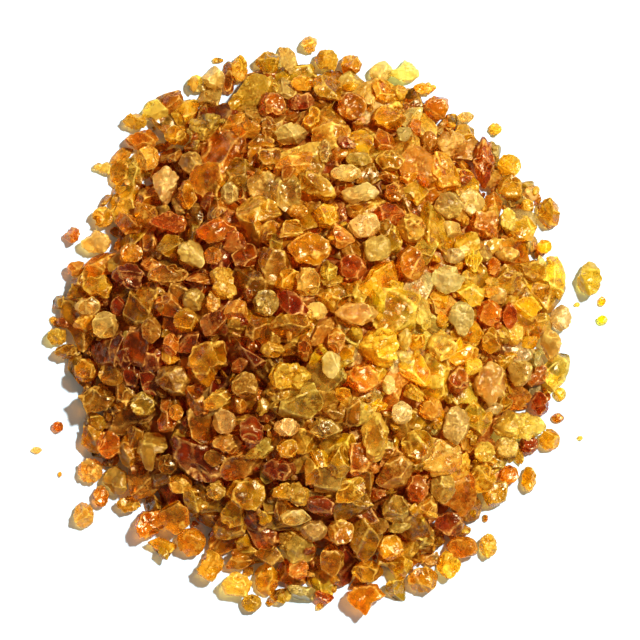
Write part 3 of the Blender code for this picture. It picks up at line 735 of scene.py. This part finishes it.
def drop(rng, heights, ceiling, x, y, halves, wobble, slack):
    """Lets a granule down on the map. Returns its middle and turn, or None if it stands too high."""
    turn = lying_turn(rng, x, y, wobble)
    part, dx, dy = window(x, y, float(max(halves)))
    lower, upper, inside = ellipsoid_sides(turn, halves * CLOSENESS, dx, dy)
    if not inside.any():
        return None
    rest = np.where(inside, heights[part] - lower, -FAR_UP).max()
    rest -= SETTLING * float(min(halves))
    rest = max(rest, FLOOR_GAP + float(-lower[inside].min()))
    top = rest + upper
    if (np.where(inside, top - ceiling[part], -FAR_UP)).max() > slack:
        return None
    heights[part] = np.where(inside, np.maximum(heights[part], top), heights[part])
    return np.array([x, y, rest]), turn


TONE_NAMES = list(TONES)
TONE_STEPS = np.cumsum([share for _, share in TONES.values()])
# How strongly the painted light and shade at a place decide the tone, against chance, and the spread of the
# two together
PAINTED_LIGHT_PULL = 1.1
SCORE_SPREAD = 1.15


def pick_tone(rng, x, y):
    """A tone for a small granule, more often a pale one where the heap has painted light and a dark one
    where it has painted shade.
    """
    score = rng.normal(0.0, 1.0) + PAINTED_LIGHT_PULL * float(painted_light(x, y))
    place = 0.5 * (1.0 + math.erf(score / math.sqrt(2.0) / SCORE_SPREAD)) * TONE_STEPS[-1]
    return TONE_NAMES[min(int(np.searchsorted(TONE_STEPS, place)), len(TONE_NAMES) - 1)]


# Materials


class Nodes:
    """Makes and joins the nodes of one material."""

    def __init__(self, name):
        self.material = bpy.data.materials.new(name)
        self.material.use_nodes = True
        self.tree = self.material.node_tree
        self.shader = self.tree.nodes["Principled BSDF"]

    def new(self, kind, values=(), **settings):
        made = self.tree.nodes.new(kind)
        for name, value in settings.items():
            setattr(made, name, value)
        for socket, value in dict(values).items():
            self.put(made.inputs[socket], value)
        return made

    def put(self, socket, value):
        if isinstance(value, bpy.types.NodeSocket):
            self.tree.links.new(value, socket)
        else:
            socket.default_value = value

    def math(self, operation, first, second=0.0, clamp=False):
        made = self.new("ShaderNodeMath", {0: first, 1: second}, operation=operation, use_clamp=clamp)
        return made.outputs[0]

    def ramp(self, value, low, high, to_low=0.0, to_high=1.0):
        made = self.new("ShaderNodeMapRange", {0: value, 1: low, 2: high, 3: to_low, 4: to_high})
        return made.outputs[0]

    def mix(self, share, first, second, blend="MIX"):
        made = self.new("ShaderNodeMix", {0: share, 6: first, 7: second}, data_type="RGBA", blend_type=blend)
        return made.outputs[2]

    def tint(self, colour, factor):
        return self.mix(1.0, colour, factor, "MULTIPLY")

    def vector(self, operation, first, second):
        return self.new("ShaderNodeVectorMath", {0: first, 1: second}, operation=operation)

    def noise(self, where, scale, detail=2.0, roughness=0.5):
        made = self.new(
            "ShaderNodeTexNoise", {"Vector": where, "Scale": scale, "Detail": detail, "Roughness": roughness}
        )
        return made.outputs["Fac"]

    def attribute(self, name, output="Fac"):
        return self.new("ShaderNodeAttribute", attribute_name=name).outputs[output]


DUST_COLOUR = (0.86, 0.64, 0.16, 1.0)
EDGE_WEAR_AND_RIM_LIGHT_COLOUR = (0.95, 0.72, 0.22, 1.0)
# What a tone is multiplied by in clear resin, under dust, at a worn edge, which is partly painted rim light,
# and in a shadow ray
CLEAR_TINT = (1.15, 1.15, 1.0, 1.0)
DUST_TINT = (1.15, 1.25, 1.4, 1.0)
EDGE_WEAR_AND_RIM_LIGHT_TINT = (1.3, 1.5, 1.8, 1.0)
SHADOW_TINT = (0.38, 0.38, 0.38, 1.0)
# How fine each pattern is, in repeats per metre
CLOUD_SCALE = 330.0
SWELL_SCALE = 600.0
EDGE_PATCH_SCALE = 700.0
CHIP_SCALE = 850.0
DUST_PATCH_SCALE = 900.0
GRIT_SCALE = 2600.0
# Roughness of dust, and how far light passes into clean resin, into dust and into clouds
DUST_ROUGHNESS = 0.5
CLEARNESS = 0.94
DUST_MILKINESS = 0.8
CLOUD_MILKINESS = 0.4
SWELL_HEIGHT = 0.03 * MM
RELIEF_STRENGTH = 0.6
RESIN_IOR = 1.5
SPECULAR_LEVEL = 0.35
SPECULAR_TINT = (1.0, 0.88, 0.6, 1.0)


def pattern_place(nodes):
    """Where on its pattern each point is, different for neighbouring granules."""
    place = nodes.new("ShaderNodeTexCoord").outputs["Object"]
    shift = nodes.attribute("pattern_shift", "Vector")
    return nodes.vector("ADD", place, shift).outputs[0]


def dust_on_faces(nodes, where, grit, chip):
    """Dust on the flat faces: in patches, thicker on some chips, and all over the dustiest faces."""
    dust = nodes.attribute("dust")
    cover = nodes.ramp(nodes.noise(where, DUST_PATCH_SCALE, 3.0, 0.6), 0.42, 0.66)
    cover = nodes.math("MULTIPLY", cover, nodes.ramp(chip, 0.0, 1.0, 0.3, 1.3))
    cover = nodes.math("MAXIMUM", cover, nodes.ramp(dust, 0.6, 1.0, 0.0, 0.5))
    faces = nodes.math("MULTIPLY", dust, nodes.ramp(grit, 0.0, 1.0, 0.45, 1.2))
    return nodes.math("MULTIPLY", faces, cover)


def dust_and_rim_light_on_edges(nodes, where, grit):
    """Dust along the worn edges, partly painted rim light, broken up into grit and patches."""
    edges = nodes.math("MULTIPLY", nodes.attribute("wear"), nodes.ramp(grit, 0.0, 1.0, 0.6, 1.3))
    patches = nodes.ramp(nodes.noise(where, EDGE_PATCH_SCALE), 0.35, 0.6, 0.5, 1.0)
    return nodes.math("MULTIPLY", edges, patches)


def resin_relief(nodes, where, grit, chips):
    """Small flat chips that lean each their own way, with a fine swell over them."""
    away = nodes.vector("SUBTRACT", where, chips.outputs["Position"])
    lean = nodes.vector("SUBTRACT", chips.outputs["Color"], (0.5, 0.5, 0.5))
    flat = nodes.vector("DOT_PRODUCT", away.outputs[0], lean.outputs[0])
    swell = nodes.math("ADD", nodes.noise(where, SWELL_SCALE), grit)
    relief = nodes.math("ADD", flat.outputs["Value"], nodes.math("MULTIPLY", swell, SWELL_HEIGHT))
    values = {"Strength": RELIEF_STRENGTH, "Distance": 1.0, "Height": relief}
    return nodes.new("ShaderNodeBump", values).outputs[0]


def let_lamps_through(nodes, clear):
    """Lamps shine through a granule and take its colour, as through clear resin."""
    passed = nodes.new("ShaderNodeBsdfTransparent", {0: nodes.tint(clear, SHADOW_TINT)})
    is_shadow = nodes.new("ShaderNodeLightPath").outputs["Is Shadow Ray"]
    shaders = {0: is_shadow, 1: nodes.shader.outputs[0], 2: passed.outputs[0]}
    through = nodes.new("ShaderNodeMixShader", shaders)
    nodes.put(nodes.tree.nodes["Material Output"].inputs["Surface"], through.outputs[0])


def resin(name, dustiness, gloss):
    """Clear resin with cloudy patches inside, glossy fractures, dusty faces and pale worn edges; the edges
    and the dustier walls also paint rim light.
    """
    nodes = Nodes(name)
    where = pattern_place(nodes)
    tone = nodes.attribute("tone", "Color")
    clear = nodes.tint(tone, CLEAR_TINT)
    cloud = nodes.ramp(nodes.noise(where, CLOUD_SCALE), 0.40, 0.66)
    grit = nodes.ramp(nodes.noise(where, GRIT_SCALE), 0.42, 0.62)
    chips = nodes.new("ShaderNodeTexVoronoi", {"Vector": where, "Scale": CHIP_SCALE})
    chip = nodes.new("ShaderNodeSeparateColor", {0: chips.outputs["Color"]}).outputs[0]
    edges = dust_and_rim_light_on_edges(nodes, where, grit)
    dusty = nodes.math("MAXIMUM", dust_on_faces(nodes, where, grit, chip), edges, clamp=True)

    body = nodes.mix(cloud, clear, tone)
    dusted = nodes.mix(0.6, nodes.tint(tone, DUST_TINT), DUST_COLOUR)
    colour = nodes.mix(nodes.math("MULTIPLY", dusty, dustiness), body, dusted)
    # Pale worn edges: partly wear, partly painted rim light
    pale_edge_and_rim_light = nodes.mix(0.5, nodes.tint(tone, EDGE_WEAR_AND_RIM_LIGHT_TINT), EDGE_WEAR_AND_RIM_LIGHT_COLOUR)
    colour = nodes.mix(nodes.math("MULTIPLY", edges, 0.8, clamp=True), colour, pale_edge_and_rim_light)
    milky = nodes.math("MULTIPLY", cloud, CLOUD_MILKINESS)
    milky = nodes.math("MAXIMUM", nodes.ramp(dusty, 0.0, 1.0, 0.0, DUST_MILKINESS), milky)

    shader = nodes.shader.inputs
    nodes.put(shader["Base Color"], colour)
    nodes.put(shader["Roughness"], nodes.ramp(dusty, 0.0, 0.8, gloss, DUST_ROUGHNESS))
    nodes.put(shader["Transmission Weight"], nodes.math("SUBTRACT", CLEARNESS, milky, clamp=True))
    nodes.put(shader["Normal"], resin_relief(nodes, where, grit, chips))
    nodes.put(shader["IOR"], RESIN_IOR)
    nodes.put(shader["Specular IOR Level"], SPECULAR_LEVEL)
    nodes.put(shader["Specular Tint"], SPECULAR_TINT)
    let_lamps_through(nodes, clear)
    return nodes.material


# Dustiness and the roughness of clean faces, for each of the record's slots
SLOT_FINISH = {
    "dark_red": (0.75, 0.16),
    "red_brown": (0.75, 0.18),
    "brown": (0.9, 0.24),
    "orange": (0.85, 0.2),
    "amber": (0.9, 0.2),
    "golden": (0.95, 0.22),
    "smoky": (0.8, 0.25),
    "tan": (1.0, 0.35),
    "yellow": (0.8, 0.2),
    "straw": (0.9, 0.26),
    "pale": (1.0, 0.32),
    "mixed": (0.92, 0.22),
}

RESINS = {slot: resin("resin_" + slot, *finish) for slot, finish in SLOT_FINISH.items()}


# The large granules, one piece for each CAD node

# How many points are taken on each edge of a CAD solid
POINTS_ON_EDGE = 12


def node_points(node):
    """Points along the edges of a CAD node, in millimetres."""
    mesh = frame["nodes"][node].data
    corners = np.zeros(len(mesh.vertices) * 3, np.float32)
    mesh.vertices.foreach_get("co", corners)
    corners = corners.reshape(-1, 3).astype(float) / MM
    edges = np.zeros(len(mesh.edges) * 2, np.int32)
    mesh.edges.foreach_get("vertices", edges)
    ends = corners[edges.reshape(-1, 2)]
    along = np.linspace(0.0, 1.0, POINTS_ON_EDGE)[:, None, None]
    return (ends[:, 0] * (1.0 - along) + ends[:, 1] * along).reshape(-1, 3)


def make_large_granules(ceiling):
    """Each large granule, broken inside the outline and height of its CAD solid."""
    slots = {part["node"]: part["material_slot"] for part in frame["record"]["subparts"]}
    bodies = frame["record"]["behaviour"]["bodies"]
    body_of = {node: body for body, nodes in bodies.items() for node in nodes}
    for index, node in enumerate(sorted(slots)):
        if node == BED_NODE:
            continue
        rng = np.random.default_rng([SEED, 1, index])
        solid = node_points(node)
        middle = 0.5 * (solid.min(axis=0) + solid.max(axis=0))
        bottom, top = solid[:, 2].min(), solid[:, 2].max()
        reaches = outline_of(solid - middle)
        style = SPECIAL_STYLES.get(node) or pick_style(rng, slots[node])
        points, triangles, wear, dust = shape(rng, LARGE, style)
        points = fit_to_outline(points, triangles, reaches, middle, bottom, top)
        colour = painted_shade_and_light_colour(varied(rng, slots[node], LARGE_TONE_SPREAD), points)
        batch = Batch()
        batch.add(points, triangles, colour, wear, dust)
        piece = batch.make(node + "_look", RESINS[slots[node]])
        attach(piece, body_of[node])
        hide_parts(node)
        lower_ceiling(ceiling, middle[0], middle[1], reaches, bottom, top - bottom)


# The small granules, in a few pieces that together stand for the bed

SECTORS = 8
# Granules deeper than this are hardly seen
HIDDEN_DEPTH = 3.4
# Sizes above which a granule is modelled more finely
SMALL_ACROSS, MEDIUM_ACROSS, LARGE_ACROSS = 1.5, 2.4, 4.0
# Height of a placed granule: against its width, against its least width, and at most
HEIGHT_BY_WIDTH = 0.8
HEIGHT_BY_LEAST_WIDTH = 1.25
GREATEST_HEIGHT = 4.8
# How much lower or higher than usual a placed granule may lie
PLACED_LOWER, PLACED_HIGHER = -0.3, 0.5
# Length, width and thickness of a dropped granule against its size
LENGTHS, WIDTHS, THICKNESSES = (1.0, 1.4), (0.72, 1.0), (0.42, 0.7)
# A lump fills only part of its ellipsoid, so it is made larger by this
FILL_OUT = 1.22
# Drops between two looks at where room is left
DROPS_PER_LOOK = 150

# Passes of dropping, coarse to fine: sizes, how many are tried, how far they wobble off the
# slope, how far one may stick out, and the least room it is tried in
PASSES = (
    dict(sizes=(5.8, 9.0), tries=10000, wobble=0.35, slack=1.2, least_room=2.6),
    dict(sizes=(4.4, 6.6), tries=10000, wobble=0.4, slack=1.2, least_room=2.0),
    dict(sizes=(2.8, 4.4), tries=2600, wobble=0.5, slack=0.9, least_room=1.8),
    dict(sizes=(1.2, 2.4), tries=700, wobble=0.7, slack=0.7, least_room=1.4),
)

# The core: rings and points on each, how far out it goes as a share of the way to the foot,
# how low its edge and its underside are, and the wavelength and height of its bumps
CORE_RINGS, CORE_POINTS = 40, 120
CORE_SHARE = 0.80
CORE_EDGE_HEIGHT = 0.4
CORE_UNDERSIDE = 0.05
CORE_LOWEST = 0.02
CORE_BUMPS = (4.0, 0.35)


def sector_of(x, y):
    """Which of the bed's pieces a granule at a place belongs to."""
    angle = math.atan2(y - HEAP_MIDDLE[1], x - HEAP_MIDDLE[0])
    return int(angle / math.tau % 1.0 * SECTORS) % SECTORS


def granule_base(x, y, height):
    """Height of a placed granule's lowest point: partly buried, or on the surface at the rim."""
    base = float(heap_height(x, y)) - BURIED_SHARE * height
    return base if base > LOWEST_IN_BED else 0.0


def place_middle_granules(batches, ceiling, rng):
    """The middle-sized granules whose places are given."""
    for tone, x, y, size in MIDDLE_GRANULES:
        reaches = eight_reaches(size)
        width = 2 * float(np.mean(reaches))
        least_width = 2 * min(reaches)
        height = min(HEIGHT_BY_WIDTH * width, HEIGHT_BY_LEAST_WIDTH * least_width, GREATEST_HEIGHT)
        shift = rng.uniform(PLACED_LOWER, PLACED_HIGHER) * (heap_height(x, y) > height)
        base = granule_base(x, y, height) + shift
        add_fitted(batches, rng, tone, x, y, reaches, max(base, 0.0), height, LARGE)
        lower_ceiling(ceiling, x, y, reaches, base, height)


def add_fitted(batches, rng, tone, x, y, reaches, base, height, detail):
    """One granule with a given outline, added to its sector."""
    points, triangles, wear, dust = shape(rng, detail, pick_style(rng, tone))
    points = fit_to_outline(points, triangles, reaches, (x, y), base, base + height)
    batches[sector_of(x, y)].add(points, triangles, painted_shade_and_light_colour(varied(rng, tone), points), wear, dust)


def place_stray_crumbs(batches, rng):
    """The crumbs that lie on the surface beside the heap."""
    for tone, x, y, size in STRAY_CRUMBS:
        reaches = eight_reaches(size)
        add_fitted(batches, rng, tone, x, y, reaches, 0.0, HEIGHT_BY_WIDTH * 2 * min(reaches), SMALL)


def add_dropped(batches, rng, middle, turn, halves, detail):
    """One dropped granule, added to its sector."""
    x, y, _ = middle
    tone = pick_tone(rng, x, y)
    points, triangles, wear, dust = shape(rng, detail, pick_style(rng, tone))
    points = (points * halves * FILL_OUT) @ turn.T + middle
    points[:, 2] = np.maximum(points[:, 2], 0.0)
    batches[sector_of(x, y)].add(points, triangles, painted_shade_and_light_colour(varied(rng, tone), points), wear, dust)


def scatter(batches, rng, heights, ceiling, sizes, tries, wobble, slack, least_room):
    """Drops granules where the heap still lacks height, until the tries are used up."""
    room_cells = None
    for attempt in range(tries):
        if attempt % DROPS_PER_LOOK == 0:
            room_cells = np.argwhere(ceiling - heights > least_room)
            if not len(room_cells):
                return
        row, column = room_cells[rng.integers(len(room_cells))]
        x = float(GRID_X[column] + rng.uniform(-0.5, 0.5) * CELL)
        y = float(GRID_Y[row] + rng.uniform(-0.5, 0.5) * CELL)
        across = rng.uniform(*sizes)
        halves = 0.5 * across * np.array([rng.uniform(*share) for share in (LENGTHS, WIDTHS, THICKNESSES)])
        placed = drop(rng, heights, ceiling, x, y, halves, wobble, slack)
        if placed is None:
            continue
        middle, turn = placed
        sunk = float(ceiling_skin(x, y)) - (middle[2] + halves[2])
        add_dropped(batches, rng, middle, turn, halves, detail_for(across, sunk))


def detail_for(across, sunk):
    """How finely a granule is modelled: less if it is small or lies deep."""
    if sunk > HIDDEN_DEPTH or across < SMALL_ACROSS:
        return CRUMB
    if across < MEDIUM_ACROSS:
        return SMALL
    return LARGE if across > LARGE_ACROSS else MEDIUM


def core_points():
    """Points of the core: its top, its rings, its foot and the middle of its underside."""
    angle = np.arange(CORE_POINTS) * math.tau / CORE_POINTS
    reach = smooth_reach(FOOT_REACHES, angle)
    points = [[HEAP_MIDDLE[0], HEAP_MIDDLE[1], CROWN_HEIGHT - CORE_DEPTH]]
    for ring in range(1, CORE_RINGS + 1):
        share = CORE_SHARE * ring / CORE_RINGS
        x = HEAP_MIDDLE[0] + reach * share * np.cos(angle)
        y = HEAP_MIDDLE[1] + reach * share * np.sin(angle)
        z = np.maximum(heap_height(x, y) - CORE_DEPTH, CORE_EDGE_HEIGHT)
        points += np.stack([x, y, z], axis=1).tolist()
    points += [[x, y, CORE_UNDERSIDE] for x, y, _ in points[-CORE_POINTS:]]
    points.append([HEAP_MIDDLE[0], HEAP_MIDDLE[1], CORE_UNDERSIDE])
    return np.array(points)


def core_triangles(last_point):
    """Triangles between the core's points, the last of which is the middle of its underside."""
    triangles = []
    for step in range(CORE_POINTS):
        beside = (step + 1) % CORE_POINTS
        triangles.append([0, 1 + step, 1 + beside])
        for ring in range(CORE_RINGS):
            near, far = 1 + ring * CORE_POINTS, 1 + (ring + 1) * CORE_POINTS
            triangles.append([near + step, far + step, far + beside])
            triangles.append([near + step, far + beside, near + beside])
        foot = 1 + CORE_RINGS * CORE_POINTS
        triangles.append([foot + step, last_point, foot + beside])
    return np.array(triangles)


def make_shaded_core(rng, material):
    """A dark mound inside the heap, so that no gap shows the surface below: it stands for the buried
    granules, and its dark red-brown tone paints the shade deep between them.
    """
    points = core_points()
    wavelength, bump_height = CORE_BUMPS
    on_top = points[:, 2] > 2 * CORE_UNDERSIDE
    bumps = bump_height * waves(rng, points, wavelength) * on_top
    points[:, 2] = np.maximum(points[:, 2] + bumps, CORE_LOWEST)
    unworn = np.zeros(len(points))
    all_dusty = np.ones(len(points))
    batch = Batch()
    batch.add(points, core_triangles(len(points) - 1), np.array(TONES["red_brown"][0]), unworn, all_dusty)
    core = batch.make("bed_core_look", material)
    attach(core, "root")


def make_bed(ceiling):
    """All the small granules."""
    rng = np.random.default_rng([SEED, 2])
    batches = [Batch() for _ in range(SECTORS)]
    place_middle_granules(batches, ceiling, rng)
    heights = np.maximum(heap_height(MAP_X, MAP_Y) - CORE_DEPTH, 0.0)
    for one_pass in PASSES:
        scatter(batches, rng, heights, ceiling, **one_pass)
    place_stray_crumbs(batches, rng)
    for number, batch in enumerate(batches):
        piece = batch.make(f"bed_granules_{number + 1}", RESINS[BED_SLOT])
        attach(piece, "root")
        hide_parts(BED_NODE)
    make_shaded_core(rng, RESINS[BED_SLOT])


def make_ceiling():
    """The height that granules may reach all over the map."""
    rng = np.random.default_rng([SEED, 3])
    places = np.stack([MAP_X, MAP_Y], axis=-1)
    skin = ceiling_skin(MAP_X, MAP_Y) + SKIN_WAVES * waves(rng, places, SKIN_WAVELENGTH)
    raggedness = LOOSE_RAGGEDNESS * waves(rng, places, LOOSE_RAGGED_LENGTH)
    return np.where(foot_share(MAP_X, MAP_Y, LOOSE_REACHES) + raggedness < 1.0, skin, 0.0)


# Floor, light and camera, all in metres

# A little blue, so that it looks white and its shadows grey under the warm light all round
FLOOR_COLOUR = (0.59, 0.77, 1.0, 1.0)
FLOOR_ROUGHNESS = 0.7
FLOOR_HALF = 3.0
KEY_AZIMUTH, KEY_ELEVATION, KEY_DISTANCE = math.radians(40), math.radians(62), 1.4
KEY_SIZE, KEY_WATTS, KEY_COLOUR = 0.09, 29.0, (1.0, 0.97, 0.86)
ROUND_COLOUR, ROUND_STRENGTH = (1.0, 0.78, 0.55, 1.0), 0.37
VIEW_MIDDLE, VIEW_WIDTH = (-0.9 * MM, 1.0 * MM), 128 * MM
CAMERA_HEIGHT, SENSOR_MM = 0.9, 36.0
# Share of the heap's height at which the view has that width
VIEW_LEVEL = 0.4


def make_floor():
    """A white surface far larger than the view."""
    nodes = Nodes("white_surface")
    nodes.put(nodes.shader.inputs["Base Color"], FLOOR_COLOUR)
    nodes.put(nodes.shader.inputs["Roughness"], FLOOR_ROUGHNESS)
    mesh = bpy.data.meshes.new("floor")
    corners = [(x * FLOOR_HALF, y * FLOOR_HALF, 0) for x, y in ((-1, -1), (1, -1), (1, 1), (-1, 1))]
    mesh.from_pydata(corners, [], [(0, 1, 2, 3)])
    mesh.materials.append(nodes.material)
    put_in_scene("floor", mesh)


def make_key_light():
    """A small bright lamp at the upper right, aimed at the middle."""
    data = bpy.data.lights.new("key", "AREA")
    data.energy = KEY_WATTS
    data.size = KEY_SIZE
    data.color = KEY_COLOUR
    light = put_in_scene("key", data)
    flat = math.cos(KEY_ELEVATION) * KEY_DISTANCE
    height = math.sin(KEY_ELEVATION) * KEY_DISTANCE
    light.location = (flat * math.cos(KEY_AZIMUTH), flat * math.sin(KEY_AZIMUTH), height)
    light.rotation_euler = (-light.location).to_track_quat("-Z", "Y").to_euler()


def make_light_all_round():
    """Soft warm light from all sides."""
    world = bpy.data.worlds.new("studio")
    world.use_nodes = True
    background = world.node_tree.nodes["Background"]
    background.inputs["Color"].default_value = ROUND_COLOUR
    background.inputs["Strength"].default_value = ROUND_STRENGTH
    bpy.context.scene.world = world


def make_camera():
    """Straight down, with the heap filling the frame as it should."""
    data = bpy.data.cameras.new("camera")
    data.sensor_width = SENSOR_MM
    data.lens = SENSOR_MM * (CAMERA_HEIGHT - VIEW_LEVEL * CROWN_HEIGHT * MM) / VIEW_WIDTH
    camera = put_in_scene("camera", data)
    camera.location = (*VIEW_MIDDLE, CAMERA_HEIGHT)
    bpy.context.scene.camera = camera


ceiling = make_ceiling()
make_large_granules(ceiling)
make_bed(ceiling)
make_floor()
make_key_light()
make_light_all_round()
make_camera()
bpy.context.scene.view_settings.view_transform = "Standard"
bpy.context.scene.view_settings.look = "Medium High Contrast"
